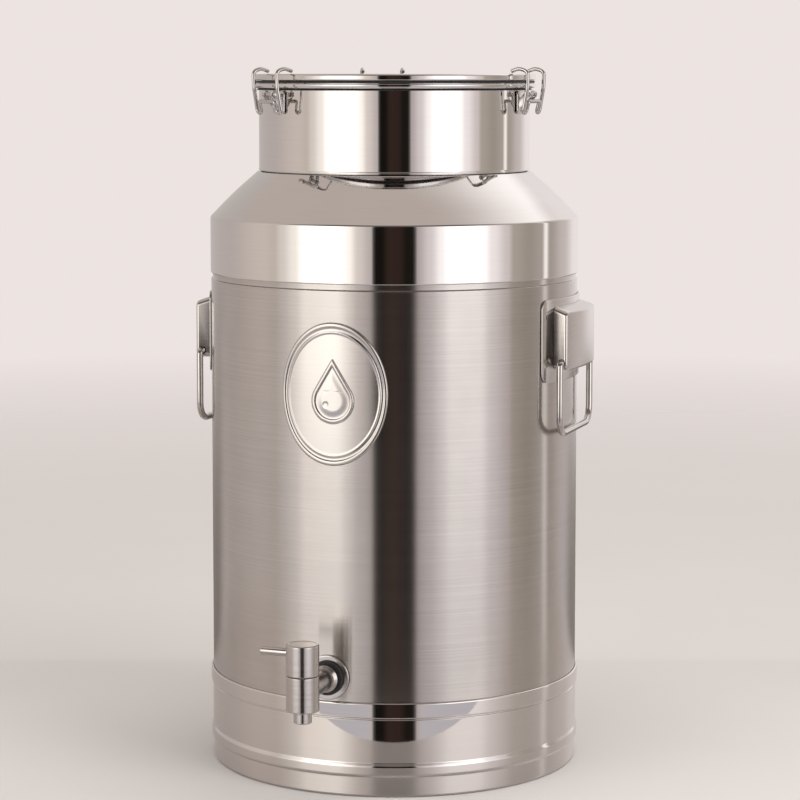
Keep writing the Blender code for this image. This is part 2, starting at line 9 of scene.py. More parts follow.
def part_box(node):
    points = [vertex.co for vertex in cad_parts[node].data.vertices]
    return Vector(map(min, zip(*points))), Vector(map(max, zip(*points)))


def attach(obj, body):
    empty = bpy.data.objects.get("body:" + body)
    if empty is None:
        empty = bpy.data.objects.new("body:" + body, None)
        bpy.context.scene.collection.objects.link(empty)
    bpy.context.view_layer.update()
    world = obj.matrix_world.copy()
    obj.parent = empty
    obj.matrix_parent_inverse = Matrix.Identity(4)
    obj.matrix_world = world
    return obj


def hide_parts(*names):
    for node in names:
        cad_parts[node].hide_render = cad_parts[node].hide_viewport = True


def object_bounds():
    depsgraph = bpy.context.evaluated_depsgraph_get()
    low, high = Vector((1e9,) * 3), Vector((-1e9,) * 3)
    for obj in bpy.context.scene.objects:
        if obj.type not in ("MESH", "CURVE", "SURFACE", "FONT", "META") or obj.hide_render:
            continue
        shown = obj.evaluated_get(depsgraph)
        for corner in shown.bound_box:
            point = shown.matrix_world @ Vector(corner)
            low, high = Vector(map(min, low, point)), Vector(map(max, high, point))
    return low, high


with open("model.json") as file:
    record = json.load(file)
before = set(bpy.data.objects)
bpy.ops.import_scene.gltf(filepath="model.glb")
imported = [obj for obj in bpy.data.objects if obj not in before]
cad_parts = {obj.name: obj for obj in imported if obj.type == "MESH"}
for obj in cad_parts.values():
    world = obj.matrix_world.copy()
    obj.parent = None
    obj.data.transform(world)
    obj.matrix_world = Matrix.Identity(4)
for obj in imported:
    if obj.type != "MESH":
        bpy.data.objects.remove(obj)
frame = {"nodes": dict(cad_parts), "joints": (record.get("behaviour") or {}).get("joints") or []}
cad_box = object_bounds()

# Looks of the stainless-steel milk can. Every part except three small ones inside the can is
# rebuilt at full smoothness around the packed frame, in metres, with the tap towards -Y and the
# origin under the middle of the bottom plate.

MM = 0.001
ROUND_SEGMENTS = 256

JOINTS = {joint["name"]: joint for joint in frame["joints"]}
FLOOR = cad_box[0].z
TAP = Vector(JOINTS["tap_turn"]["pos_m"])
TAP_TURN = math.atan2(TAP.x, -TAP.y)

# Heights and radii of the can, taken from the frame
BODY_RADIUS = -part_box("body_shell")[0].y
BODY_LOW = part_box("body_shell")[0].z
SHOULDER_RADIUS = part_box("shoulder_shell")[1].x
RING_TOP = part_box("base_ring")[1].z
SEAM_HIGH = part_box("shoulder_shell")[0].z
SEAM_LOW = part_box("body_shell")[1].z - 12.5 * MM
CONE_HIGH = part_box("neck_ring")[0].z - 0.4 * MM
CONE_LOW = CONE_HIGH - 41.4 * MM
NECK_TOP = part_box("neck_ring")[1].z
RIM_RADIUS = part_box("neck_ring")[1].x
NECK_RADIUS = RIM_RADIUS - 5.5 * MM
LID_LOW, LID_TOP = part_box("lid")[0].z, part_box("lid")[1].z
DISH_FLOOR = LID_LOW + 1.5 * MM
LID_UNDERSIDE = LID_TOP - 5.8 * MM
SHEET = 1.2 * MM
JOGGLE = 1.4 * MM
STEM_HOLE = 11 * MM

# The camera, as it stands in the photograph
CAMERA_AZIMUTH = math.radians(18.5)
CAMERA_DISTANCE = 2.3306
CAMERA_HEIGHT = 0.6164
CAMERA_PITCH = 0.0945
CAMERA_LENS = 116.34
CAMERA_SHIFT = (0.0071, -0.1)


# ---- Mesh tools ----


def added(name, data):
    """A new object in the scene."""
    obj = bpy.data.objects.new(name, data)
    bpy.context.scene.collection.objects.link(obj)
    return obj


def mesh_of(shape):
    bmesh.ops.recalc_face_normals(shape, faces=shape.faces)
    mesh = bpy.data.meshes.new("shape")
    shape.to_mesh(mesh)
    shape.free()
    return mesh


def round_angles(count, start=0.0):
    """Evenly spaced angles once round, the first one this share of a step from zero."""
    return [math.tau * (step + start) / count for step in range(count)]


def polar(radius, angle, *height):
    return (radius * math.cos(angle), radius * math.sin(angle), *height)


def arc(corner, towards, radius, steps):
    """Points of the arc that rounds a 2-D corner, and how far its ends are from the corner."""
    corner = Vector(corner)
    back = (Vector(towards[0]) - corner).normalized()
    ahead = (Vector(towards[1]) - corner).normalized()
    half = back.angle(ahead) / 2
    reach = radius / math.tan(half)
    centre = corner + (back + ahead).normalized() * (radius / math.sin(half))
    start = corner + back * reach - centre
    end = corner + ahead * reach - centre
    bends = [start.slerp(end, step / steps).normalized() for step in range(steps + 1)]
    return [centre + radius * bend for bend in bends], reach


def rounded(corners, closed=True, steps=6, support=0.5 * MM):
    """A 2-D profile through (u, v, radius) corners. A support point past each end of an arc keeps
    the shading of the straight stretches flat."""
    count = len(corners)
    path = []
    for index, (u, v, radius) in enumerate(corners):
        at_end = not closed and index in (0, count - 1)
        if radius == 0 or at_end:
            path.append(Vector((u, v)))
            continue
        before, after = corners[index - 1][:2], corners[(index + 1) % count][:2]
        points, reach = arc((u, v), (before, after), radius, steps)
        corner = Vector((u, v))
        for side, target in ((0, before), (1, after)):
            stretch = (Vector(target) - corner).length - reach
            if stretch > 6 * support:
                direction = (Vector(target) - corner).normalized()
                points.insert(side * len(points), corner + direction * (reach + support))
        path += points
    return [tuple(point) for point in path]


def skin(shape, rings):
    """Faces between rings of vertices, one ring after another. A ring may be one repeated point."""
    count = len(rings[0])
    for ring, after in zip(rings, rings[1:]):
        for step in range(count):
            corner = (step + 1) % count
            face = [ring[step], ring[corner], after[corner], after[step]]
            shape.faces.new(dict.fromkeys(face))


def lathe(profile, segments=ROUND_SEGMENTS, closed=True):
    """Turns (radius, height) points about Z. An open profile starts and ends on the axis."""
    shape = bmesh.new()
    rings = []
    for radius, height in profile:
        if radius == 0:
            rings.append([shape.verts.new((0, 0, height))] * segments)
            continue
        rings.append([shape.verts.new(polar(radius, a, height)) for a in round_angles(segments)])
    skin(shape, rings + rings[:1] if closed else rings)
    return mesh_of(shape)


def turned(corners, closed=True, steps=6, segments=ROUND_SEGMENTS):
    """Turns a profile of rounded (radius, height, corner radius) corners about Z."""
    return lathe(rounded(corners, closed, steps), segments, closed)


def loft(rings):
    """Skins equal-length closed rings of points one after another, with a face at each end."""
    shape = bmesh.new()
    made = [[shape.verts.new(point) for point in ring] for ring in rings]
    skin(shape, made)
    shape.faces.new(made[0])
    shape.faces.new(made[-1])
    return mesh_of(shape)


def filleted(corners, radii, steps=10):
    """A 3-D path through corners, each inner corner rounded to its own radius."""
    points = [Vector(corner) for corner in corners]
    path = [points[0]]
    for before, corner, after, radius in zip(points, points[1:], points[2:], radii):
        path += arc(corner, (before, after), radius, steps)[0]
    return path + [points[-1]]


def bar(path, radius, sides=20, tip=0.35 * MM, steps=3):
    """A round bar swept along a 3-D path, its ends rounded off over the tip length."""
    points = [Vector(point) for point in path]
    ahead = [(after - before).normalized() for before, after in zip(points, points[1:])]
    tangents = [ahead[0]]
    tangents += [(before + after).normalized() for before, after in zip(ahead, ahead[1:])]
    tangents.append(ahead[-1])
    side = tangents[0].orthogonal().normalized()
    stations = []
    for point, tangent in zip(points, tangents):
        side = (side - tangent * side.dot(tangent)).normalized()
        stations.append((point, tangent, side.copy(), radius))
    ends = []
    for (point, tangent, across, _), inward in ((stations[0], 1), (stations[-1], -1)):
        rounding = []
        for step in range(steps + 1):
            angle = math.radians(90) * step / steps
            inset = tangent * inward * tip * (1 - math.sin(angle))
            size = radius - tip + tip * math.cos(angle)
            rounding.append((point + inset, tangent, across, size))
        ends.append(rounding)
    stations = ends[0][::-1] + stations[1:-1] + ends[1]
    rings = []
    for point, tangent, across, size in stations:
        other = tangent.cross(across)
        ring = []
        for angle in round_angles(sides):
            ring.append(point + across * size * math.cos(angle) + other * size * math.sin(angle))
        rings.append(ring)
    return loft(rings)


def prism(outline, axis, low, high):
    """A 2-D outline extruded along X, Y or Z; its plane keeps the other two axes in order."""

    def place(u, v, w):
        return {"X": (w, u, v), "Y": (u, w, v), "Z": (u, v, w)}[axis]

    shape = bmesh.new()
    floor = shape.faces.new([shape.verts.new(place(u, v, low)) for u, v in outline])
    raised = bmesh.ops.extrude_face_region(shape, geom=[floor])["geom"]
    lifted = [item for item in raised if isinstance(item, bmesh.types.BMVert)]
    bmesh.ops.translate(shape, vec=Vector(place(0, 0, high - low)), verts=lifted)
    return mesh_of(shape)


def circle(radius, centre=(0, 0), segments=48):
    spots = [polar(radius, angle) for angle in round_angles(segments, 0.5)]
    return [(centre[0] + u, centre[1] + v) for u, v in spots]


def rod(radius, axis, low, high, centre=(0, 0), segments=48):
    return prism(circle(radius, centre, segments), axis, low, high)


def rounded_rectangle(size, radius, centre=(0, 0), steps=8):
    half_width, half_height = size[0] / 2, size[1] / 2
    corners = []
    for along, up in ((1, -1), (1, 1), (-1, 1), (-1, -1)):
        corners.append((centre[0] + along * half_width, centre[1] + up * half_height, radius))
    return rounded(corners, steps=steps, support=1)


def evaluated(obj):
    """The object's mesh with its modifiers applied; the object itself is removed."""
    bpy.context.view_layer.update()
    graph = bpy.context.evaluated_depsgraph_get()
    mesh = bpy.data.meshes.new_from_object(obj.evaluated_get(graph), depsgraph=graph)
    bpy.data.objects.remove(obj, do_unlink=True)
    return mesh


def combined(mesh, operation, *others):
    """The mesh after a Boolean with each of the others in turn."""
    obj = added("combined", mesh)
    helpers = [added("helper", other) for other in others]
    for helper in helpers:
        boolean = obj.modifiers.new(operation, "BOOLEAN")
        boolean.operation = operation
        boolean.solver = "EXACT"
        boolean.object = helper
    result = evaluated(obj)
    for helper in helpers:
        bpy.data.objects.remove(helper, do_unlink=True)
    return result


def bevelled(mesh, width, segments=3, angle=35):
    """The mesh with its sharp edges rounded."""
    obj = added("bevelled", mesh)
    bevel = obj.modifiers.new("bevel", "BEVEL")
    bevel.width = width
    bevel.segments = segments
    bevel.limit_method = "ANGLE"
    bevel.angle_limit = math.radians(angle)
    return evaluated(obj)


def merged(*meshes):
    """Several meshes as one, each left as it is."""
    shape = bmesh.new()
    for mesh in meshes:
        shape.from_mesh(mesh)
    mesh = bpy.data.meshes.new("merged")
    shape.to_mesh(mesh)
    shape.free()
    return mesh


def moved(mesh, matrix):
    mesh.transform(matrix)
    return mesh


def bent(mesh, step=2.5 * MM):
    """Bends a flat mesh round the can: +X out from the axis, Y along the wall, Z up."""
    shape = bmesh.new()
    shape.from_mesh(mesh)
    low = min(vert.co.y for vert in shape.verts)
    high = max(vert.co.y for vert in shape.verts)
    slices = math.ceil((high - low) / step)
    for index in range(1, slices):
        spot = (0, low + (high - low) * index / slices, 0)
        geometry = shape.verts[:] + shape.edges[:] + shape.faces[:]
        bmesh.ops.bisect_plane(shape, geom=geometry, plane_co=spot, plane_no=(0, 1, 0), dist=1e-7)
    for vert in shape.verts:
        vert.co = polar(vert.co.x, vert.co.y / BODY_RADIUS, vert.co.z)
    return mesh_of(shape)


def facing(azimuth):
    """The turn about Z that points a part's +X away from the can at this azimuth from the tap."""
    return azimuth - math.pi / 2


def piece(name, mesh, finish, body, node=None, place=(0, 0, 0), turn=0.0, sharp=35):
    """A finished object in the can's frame that rides on the body and stands for the CAD node."""
    mesh.transform(Matrix.Translation(place) @ Matrix.Rotation(turn, 4, "Z"))
    mesh.name = name
    mesh.materials.clear()
    mesh.materials.append(finish)
    mesh.shade_smooth()
    mesh.set_sharp_from_angle(angle=math.radians(sharp))
    obj = added(name, mesh)
    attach(obj, body)
    if node:
        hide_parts(node)


# ---- Materials ----


class Nodes:
    """A node tree, with short ways to add and join nodes."""

    def __init__(self, tree):
        self.tree = tree

    def fill(self, node, inputs):
        """Gives inputs, by name or number, a link from another node's output or a constant."""
        for key, value in inputs.items():
            socket = node.inputs[key]
            if isinstance(value, bpy.types.NodeSocket):
                self.tree.links.new(value, socket)
            else:
                socket.default_value = (*value, 1) if socket.type == "RGBA" else value

    def add(self, kind, inputs=(), **settings):
        node = self.tree.nodes.new(kind)
        for key, value in settings.items():
            setattr(node, key, value)
        self.fill(node, dict(inputs))
        return node

    def math(self, operation, first, second):
        return self.add("ShaderNodeMath", {0: first, 1: second}, operation=operation).outputs[0]

    def product(self, first, second):
        return self.math("MULTIPLY", first, second)

    def weighted(self, first, second, share):
        """The first source's share and the second's rest, added up."""
        return self.math("ADD", self.product(first, share), self.product(second, 1 - share))

    def blend(self, factor, first, second):
        inputs = {"Fac": factor, "Color1": first, "Color2": second}
        return self.add("ShaderNodeMixRGB", inputs).outputs["Color"]

    def ranged(self, source, low, high, start=0.3, end=0.7, kind="LINEAR"):
        """The source's start..end stretched to low..high."""
        inputs = {"Value": source, "From Min": start, "From Max": end}
        inputs |= {"To Min": low, "To Max": high}
        return self.add("ShaderNodeMapRange", inputs, interpolation_type=kind).outputs["Result"]

    def step(self, source, start, end):
        """0 before the start and 1 past the end, with a smooth rise between them."""
        return self.ranged(source, 0, 1, start, end, "SMOOTHSTEP")


class Surface(Nodes):
    """A new material's nodes, around its principled shader."""

    def __init__(self, name):
        self.material = bpy.data.materials.new(name)
        self.material.use_nodes = True
        super().__init__(self.material.node_tree)
        self.shader = self.tree.nodes["Principled BSDF"]
        self.coordinates = self.add("ShaderNodeTexCoord").outputs["Object"]

    def noise(self, scale, detail=3.0, roughness=0.5):
        """Noise over object coordinates that are first scaled along each axis, per metre."""
        mapped = self.add("ShaderNodeMapping", {"Vector": self.coordinates, "Scale": scale})
        inputs = {"Scale": 1, "Detail": detail, "Roughness": roughness}
        inputs["Vector"] = mapped.outputs["Vector"]
        return self.add("ShaderNodeTexNoise", inputs).outputs["Fac"]

    def bump(self, height, strength, distance, **onto):
        """A bump in the surface, or in the Normal that is given."""
        inputs = {"Height": height, "Strength": strength, "Distance": distance, **onto}
        return self.add("ShaderNodeBump", inputs).outputs["Normal"]

    def finished(self, inputs):
        self.fill(self.shader, inputs)
        return self.material


def steel(name, shades, roughness, grain, polish, wave=0.0, anisotropy=0.0):
    """Stainless steel. The grain is how fast its fine lines vary along each axis, per metre."""
    surface = Surface(name)
    lines = surface.noise(grain, 4.0, 0.6)
    broad = surface.noise((9, 9, 7), 2.0)
    stains = surface.noise((38, 38, 30), 3.0)
    shade = surface.ranged(surface.weighted(lines, stains, 0.7), 0, 1)
    inputs = {
        "Metallic": 1,
        "Base Color": surface.blend(shade, *shades),
        "Roughness": surface.ranged(surface.weighted(lines, broad, 0.6), *roughness),
        "Normal": surface.bump(lines, polish, 0.02 * MM),
    }
    if wave:
        unevenness = surface.noise((11, 11, 16), 1.0)
        inputs["Normal"] = surface.bump(unevenness, wave, 1 * MM, Normal=inputs["Normal"])
    if anisotropy:
        tangent = surface.add("ShaderNodeTangent", direction_type="RADIAL", axis="Z")
        inputs["Tangent"] = tangent.outputs["Tangent"]
        inputs |= {"Anisotropic": anisotropy, "Anisotropic Rotation": 0.25}
    return surface.finished(inputs)


def rubber(name, dark, light):
    surface = Surface(name)
    specks = surface.noise((900, 900, 900), 2.0)
    inputs = {
        "Base Color": surface.blend(surface.ranged(specks, 0, 1), dark, light),
        "Roughness": surface.ranged(surface.noise((150, 150, 150)), 0.42, 0.62),
        "Normal": surface.bump(specks, 0.4, 0.1 * MM),
    }
    return surface.finished(inputs)


MIRROR = steel(
    "polished_steel",
    shades=((0.74, 0.725, 0.715), (0.77, 0.755, 0.745)),
    roughness=(0.02, 0.045),
    grain=(14, 14, 500),
    polish=0.012,
    wave=0.02,
)
BRUSHED = steel(
    "brushed_steel",
    shades=((0.55, 0.525, 0.505), (0.64, 0.615, 0.595)),
    roughness=(0.18, 0.22),
    grain=(5, 5, 1500),
    polish=0.12,
    wave=0.02,
    anisotropy=0.95,
)
SATIN = steel(
    "satin_steel",
    shades=((0.56, 0.54, 0.52), (0.66, 0.64, 0.62)),
    roughness=(0.18, 0.25),
    grain=(40, 40, 1600),
    polish=0.3,
    anisotropy=0.6,
)
PRESSED = steel(
    "pressed_steel",
    shades=((0.64, 0.62, 0.605), (0.69, 0.675, 0.66)),
    roughness=(0.15, 0.21),
    grain=(60, 60, 420),
    polish=0.08,
    wave=0.015,
)
WIRE = steel(
    "drawn_wire_steel",
    shades=((0.56, 0.54, 0.52), (0.69, 0.67, 0.65)),
    roughness=(0.06, 0.11),
    grain=(120, 120, 120),
    polish=0.1,
)
EMBOSSED = steel(
    "embossed_steel",
    shades=((0.60, 0.58, 0.56), (0.68, 0.66, 0.64)),
    roughness=(0.16, 0.22),
    grain=(12, 12, 900),
    polish=0.15,
)
RUBBER = rubber("black_rubber", (0.008, 0.008, 0.01), (0.03, 0.03, 0.034))


# ---- Can ----


def make_body():
    """The brushed wall, its joggled edges, and the hole for the tap's stem."""
    radius, lap = BODY_RADIUS, BODY_RADIUS - JOGGLE
    inner = lap - SHEET
    corners = [
        (inner, BODY_LOW, 0),
        (lap, BODY_LOW, 0),
        (lap, RING_TOP - 2 * MM, 0.6 * MM),
        (radius, RING_TOP - 0.5 * MM, 0.6 * MM),
        (radius, SEAM_LOW, 0.9 * MM),
        (lap, SEAM_LOW + 0.8 * MM, 0.5 * MM),
        (lap, SEAM_HIGH + 7 * MM, 0),
        (inner, SEAM_HIGH + 7 * MM, 0),
        (inner, SEAM_LOW - 1 * MM, 0.6 * MM),
        (radius - SHEET, SEAM_LOW - 2.5 * MM, 0.6 * MM),
        (radius - SHEET, RING_TOP + 1 * MM, 0.6 * MM),
        (inner, RING_TOP - 1 * MM, 0.6 * MM),
    ]
    profile = rounded(corners)
    spaced = []
    for here, after in zip(map(Vector, profile), map(Vector, profile[1:] + profile[:1])):
        rows = max(1, int(abs(after.y - here.y) / (10 * MM)))
        spaced += [tuple(here.lerp(after, row / rows)) for row in range(rows)]
    hole = rod(STEM_HOLE, "Y", -radius - 10 * MM, -radius + 30 * MM, (0, TAP.z))
    hole = moved(hole, Matrix.Rotation(TAP_TURN, 4, "Z"))
    wall = combined(lathe(spaced), "DIFFERENCE", hole)
    piece("can_body", wall, BRUSHED, "can", "body_shell")


def make_body_weld():
    """The wall's upright weld at the back: a flat dressed bead."""
    low, high = RING_TOP + 1 * MM, SEAM_LOW - 1.5 * MM
    crown = [(turn / 4 - 1, 0.22 * MM * (1 - (turn / 4 - 1) ** 2)) for turn in range(9)]
    section = crown + [(1, -0.4 * MM), (-1, -0.4 * MM)]
    count = 200
    rings = []
    for step in range(count + 1):
        height = low + (high - low) * step / count
        width = (1.5 + 0.12 * math.sin(step * 1.9) + 0.08 * math.sin(step * 0.73)) * MM
        ring = []
        for across, rise in section:
            angle = math.pi / 2 + across * width / BODY_RADIUS
            ring.append(polar(BODY_RADIUS + rise, angle, height))
        rings.append(ring)
    piece("can_body_weld", loft(rings), PRESSED, "can")


def make_base_ring():
    """The footed ring: a rolled foot, a half-round bead, a plain band and a raised top flange."""
    radius = BODY_RADIUS
    band = radius + 0.5 * MM
    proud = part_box("base_ring")[1].x
    inner = radius - JOGGLE + 0.4 * MM
    bead_low, bead_high = FLOOR + 17.5 * MM, FLOOR + 30 * MM
    flange_low = FLOOR + 68.3 * MM
    corners = [
        (radius - 7.5 * MM, FLOOR, 0.5 * MM),
        (radius - 0.2 * MM, FLOOR, 2.2 * MM),
        (radius - 0.2 * MM, bead_low, 0.8 * MM),
        (band + 1.3 * MM, bead_low + 2 * MM, 2.6 * MM),
        (band + 1.3 * MM, bead_high - 3 * MM, 4 * MM),
        (band, bead_high, 1.2 * MM),
        (band, flange_low - 1.0 * MM, 0.4 * MM),
        (band - 0.7 * MM, flange_low - 0.4 * MM, 0.2 * MM),
        (band - 0.7 * MM, flange_low + 0.4 * MM, 0.2 * MM),
        (proud, flange_low + 1.2 * MM, 0.8 * MM),
        (proud, RING_TOP, 1.3 * MM),
        (radius + 0.3 * MM, RING_TOP, 0.3 * MM),
        (radius + 0.3 * MM, RING_TOP - 3 * MM, 0.3 * MM),
        (inner, RING_TOP - 4.5 * MM, 0.3 * MM),
        (inner, FLOOR + 1.4 * MM, 1.0 * MM),
        (radius - 7.5 * MM, FLOOR + 1.4 * MM, 0.3 * MM),
    ]
    mesh = turned(corners)
    piece("base_ring_polished", mesh, MIRROR, "can", "base_ring")


def make_shoulder():
    """The polished band over the seam, the cone, and the collar that the neck stands on."""
    outer, inner = SHOULDER_RADIUS, SHOULDER_RADIUS - SHEET
    collar = NECK_RADIUS - SHEET - 0.4 * MM
    top = NECK_RADIUS + 1.5 * MM
    bulge = 0.9 * MM
    middle = ((outer + top) / 2 + bulge, (CONE_LOW + CONE_HIGH - 1 * MM) / 2 + bulge)
    corners = [
        (inner, SEAM_HIGH, 0.2 * MM),
        (outer, SEAM_HIGH, 0.9 * MM),
        (outer, CONE_LOW, 3.5 * MM),
        (*middle, 300 * MM),
        (top, CONE_HIGH - 1 * MM, 1.6 * MM),
        (collar, CONE_HIGH - 0.2 * MM, 0.3 * MM),
        (collar, CONE_HIGH + 8 * MM, 0.3 * MM),
        (collar - SHEET, CONE_HIGH + 8 * MM, 0.3 * MM),
        (collar - SHEET, CONE_HIGH - 1.4 * MM, 1 * MM),
        (NECK_RADIUS, CONE_HIGH - 2.1 * MM, 1 * MM),
        (inner, CONE_LOW - 2 * MM, 3 * MM),
    ]
    mesh = turned(corners)
    piece("shoulder_polished", mesh, MIRROR, "can", "shoulder_shell")


def make_neck():
    """The polished neck with its flared, rolled rim, and a black rubber ring just under the rim as
    painted shadow of the rim on the neck.
    """
    inner = NECK_RADIUS - SHEET
    corners = [
        (inner, CONE_HIGH + 0.4 * MM, 0.3 * MM),
        (NECK_RADIUS + 0.7 * MM, CONE_HIGH + 0.4 * MM, 0.5 * MM),
        (NECK_RADIUS, CONE_HIGH + 2.4 * MM, 0.8 * MM),
        (NECK_RADIUS, NECK_TOP - 4.4 * MM, 1.2 * MM),
        (RIM_RADIUS - 0.6 * MM, NECK_TOP - 4.1 * MM, 1.1 * MM),
        (RIM_RADIUS, NECK_TOP - 2.1 * MM, 1.2 * MM),
        (RIM_RADIUS - 0.3 * MM, NECK_TOP, 1.1 * MM),
        (inner, NECK_TOP, 1.5 * MM),
    ]
    mesh = turned(corners)
    piece("neck_polished", mesh, MIRROR, "can", "neck_ring")
    # Painted shadow: a black rubber ring just under the rim bead, where the rim shades the neck.
    bead = [
        (NECK_RADIUS + 0.1 * MM, NECK_TOP - 6.0 * MM, 0.4 * MM),
        (NECK_RADIUS + 1.7 * MM, NECK_TOP - 6.0 * MM, 0.6 * MM),
        (NECK_RADIUS + 1.7 * MM, NECK_TOP - 4.7 * MM, 0.5 * MM),
        (NECK_RADIUS + 0.1 * MM, NECK_TOP - 4.7 * MM, 0.4 * MM),
    ]
    painted_shadow_ring = turned(bead, steps=4)
    piece("neck_rim_painted_shadow", painted_shadow_ring, RUBBER, "can")


def make_bottom():
    """The dished bottom plate."""
    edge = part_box("bottom_plate")[1].x
    corners = [
        (0, 0, 0),
        (edge, 0, 4 * MM),
        (edge, 16 * MM, 0.4 * MM),
        (edge - SHEET, 16 * MM, 0.4 * MM),
        (edge - SHEET, SHEET, 3 * MM),
        (0, SHEET, 0),
    ]
    mesh = turned(corners, closed=False)
    piece("bottom_plate_satin", mesh, PRESSED, "can", "bottom_plate")


# ---- Badge ----


def smooth_step(low, high, value):
    share = min(max((value - low) / (high - low), 0), 1)
    return share * share * (3 - 2 * share)


def droplet_distance(u, v):
    """Signed distance in millimetres, about right near the edge, from a droplet's outline."""
    round_radius, tip_height, middle = 17.0, 33.0, -6.0
    v -= middle
    half = math.acos(round_radius / tip_height)
    if v > round_radius * math.cos(half):
        return abs(u) * math.sin(half) + v * math.cos(half) - round_radius
    return math.hypot(u, v) - round_radius


def badge_relief(u, v, half_width, half_height):
    """Height in millimetres of the badge's face above its ground, at millimetres (u, v)."""
    reach = math.hypot(u / half_width, v / half_height)
    inset = (1 - reach) * (half_width + half_height) / 2
    rim = smooth_step(0, 1.0, inset) * (1 - smooth_step(3.0, 4.4, inset))
    inner_rim = smooth_step(6.2, 7.0, inset) * (1 - smooth_step(7.8, 8.6, inset))
    drop = droplet_distance(u, v)
    ridge = 1 - smooth_step(0.9, 1.9, abs(drop))
    crown = 1 - smooth_step(-9, -3.2, drop)
    gleam = math.hypot(u + 6.0, v + 9.0)
    fleck = (1 - smooth_step(1.6, 3.0, gleam)) * 0.3
    return 0.9 * rim + 0.5 * inner_rim + 0.75 * ridge + 0.45 * crown - fleck


def make_badge():
    """A plain oval badge with a double raised border and a droplet, pressed from thin sheet."""
    low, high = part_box("badge_plate")
    middle = (low.z + high.z) / 2
    half_width, half_height = 48.0, (high.z - low.z) / 2 / MM
    ground = BODY_RADIUS + 0.75 * MM
    rows, columns = 90, 256
    shape = bmesh.new()
    front, back = [], []
    for row in range(rows + 1):
        share = row / rows
        front_ring, back_ring = [], []
        for angle in round_angles(columns):
            u = share * half_width * math.cos(angle)
            v = share * half_height * math.sin(angle)
            rise = badge_relief(u, v, half_width, half_height) * MM
            bearing = u * MM / BODY_RADIUS
            front_ring.append(polar(ground + rise, bearing, middle + v * MM))
            back_ring.append(polar(BODY_RADIUS + 0.4 * MM, bearing, middle + v * MM))
        front.append(front_ring)
        back.append(back_ring)
    for grid in (front, back):
        grid[0] = [shape.verts.new(grid[0][0])] * columns
        for row in range(1, rows + 1):
            grid[row] = [shape.verts.new(point) for point in grid[row]]
    for ring, after in (*zip(front, front[1:]), *zip(back, back[1:]), (front[-1], back[-1])):
        for column in range(columns):
            corner = (column + 1) % columns
            face = [ring[column], after[column], after[corner], ring[corner]]
            shape.faces.new(dict.fromkeys(face))
    mesh = mesh_of(shape)
    turn = facing(0)
    piece("badge_oval", mesh, EMBOSSED, "can", "badge_plate", turn=turn, sharp=60)


# ---- Lid ----


def make_lid():
    """A dished lid with a thick rolled rim."""
    plug = NECK_RADIUS - SHEET - 1.5 * MM
    corners = [
        (0, LID_LOW, 0),
        (plug, LID_LOW, 2.2 * MM),
        (plug, LID_UNDERSIDE, 0.7 * MM),
        (RIM_RADIUS, LID_UNDERSIDE, 1.2 * MM),
        (RIM_RADIUS, LID_TOP, 2.2 * MM),
        (plug - 1.4 * MM, LID_TOP, 2.6 * MM),
        (plug - 1.4 * MM, DISH_FLOOR, 3 * MM),
        (60 * MM, DISH_FLOOR, 4 * MM),
        (57 * MM, DISH_FLOOR + 0.8 * MM, 4 * MM),
        (0, DISH_FLOOR + 0.8 * MM, 0),
    ]
    mesh = turned(corners, closed=False)
    piece("lid_polished", mesh, MIRROR, "lid", "lid")
    gasket_corners = [
        (NECK_RADIUS, NECK_TOP + 0.3 * MM, 0.5 * MM),
        (RIM_RADIUS - 1.0 * MM, NECK_TOP + 0.3 * MM, 0.9 * MM),
        (RIM_RADIUS - 1.0 * MM, LID_UNDERSIDE - 0.3 * MM, 0.9 * MM),
        (NECK_RADIUS, LID_UNDERSIDE - 0.3 * MM, 0.5 * MM),
    ]
    gasket = turned(gasket_corners, steps=4)
    piece("lid_gasket_rubber", gasket, RUBBER, "lid", "lid_gasket")


def make_lid_handle():
    """Two pressed lugs with a foot each, and the folding wire grip."""
    pivot = Vector(JOINTS["lid_handle_fold"]["pos_m"])
    wire_radius = 2.5 * MM
    floor = DISH_FLOOR + 0.85 * MM
    for node in ("lid_handle_lug_left", "lid_handle_lug_right"):
        low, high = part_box(node)
        outline = [
            (pivot.y - 6.5 * MM, floor, 0.5 * MM),
            (pivot.y + 6.5 * MM, floor, 0.5 * MM),
            (pivot.y + 4.6 * MM, pivot.z + 4.8 * MM, 3.6 * MM),
            (pivot.y - 4.6 * MM, pivot.z + 4.8 * MM, 3.6 * MM),
        ]
        lug = prism(rounded(outline, support=1), "X", low.x, high.x)
        hole = rod(3 * MM, "X", low.x - 1 * MM, high.x + 1 * MM, (pivot.y, pivot.z))
        lug = bevelled(combined(lug, "DIFFERENCE", hole), 0.5 * MM)
        piece(node + "_pressed", lug, PRESSED, "lid", node)
    low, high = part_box("lid_handle")
    span = high.x - wire_radius
    reach = pivot.y - low.y - wire_radius
    end = span - 13 * MM
    half = [(end, 0, 0), (span, 0, 0), (span, -reach, 0)]
    corners = half + [(-x, y, z) for x, y, z in reversed(half)]
    grip = bar(filleted(corners, (4 * MM, 12 * MM, 12 * MM, 4 * MM)), wire_radius, 28)
    piece("lid_handle_grip", grip, WIRE, "lid_handle", "lid_handle", pivot)


# ---- Latches ----

# The latch's pin and the eye its hook turns in, in millimetres out from the can's axis and up from
# the neck's rim
PIN = (132.0, -9.5)
EYE = (135.2, -15.5)
HOOK_WIRE = 1.75 * MM
LEVER_SHEET = 1.3 * MM


def latch_point(out, up, sideways=0.0, origin=PIN):
    """A point of the latch, measured as the pin and the eye are, but drawn from the origin."""
    return Vector(((out - origin[0]) * MM, sideways * MM, (up - origin[1]) * MM))


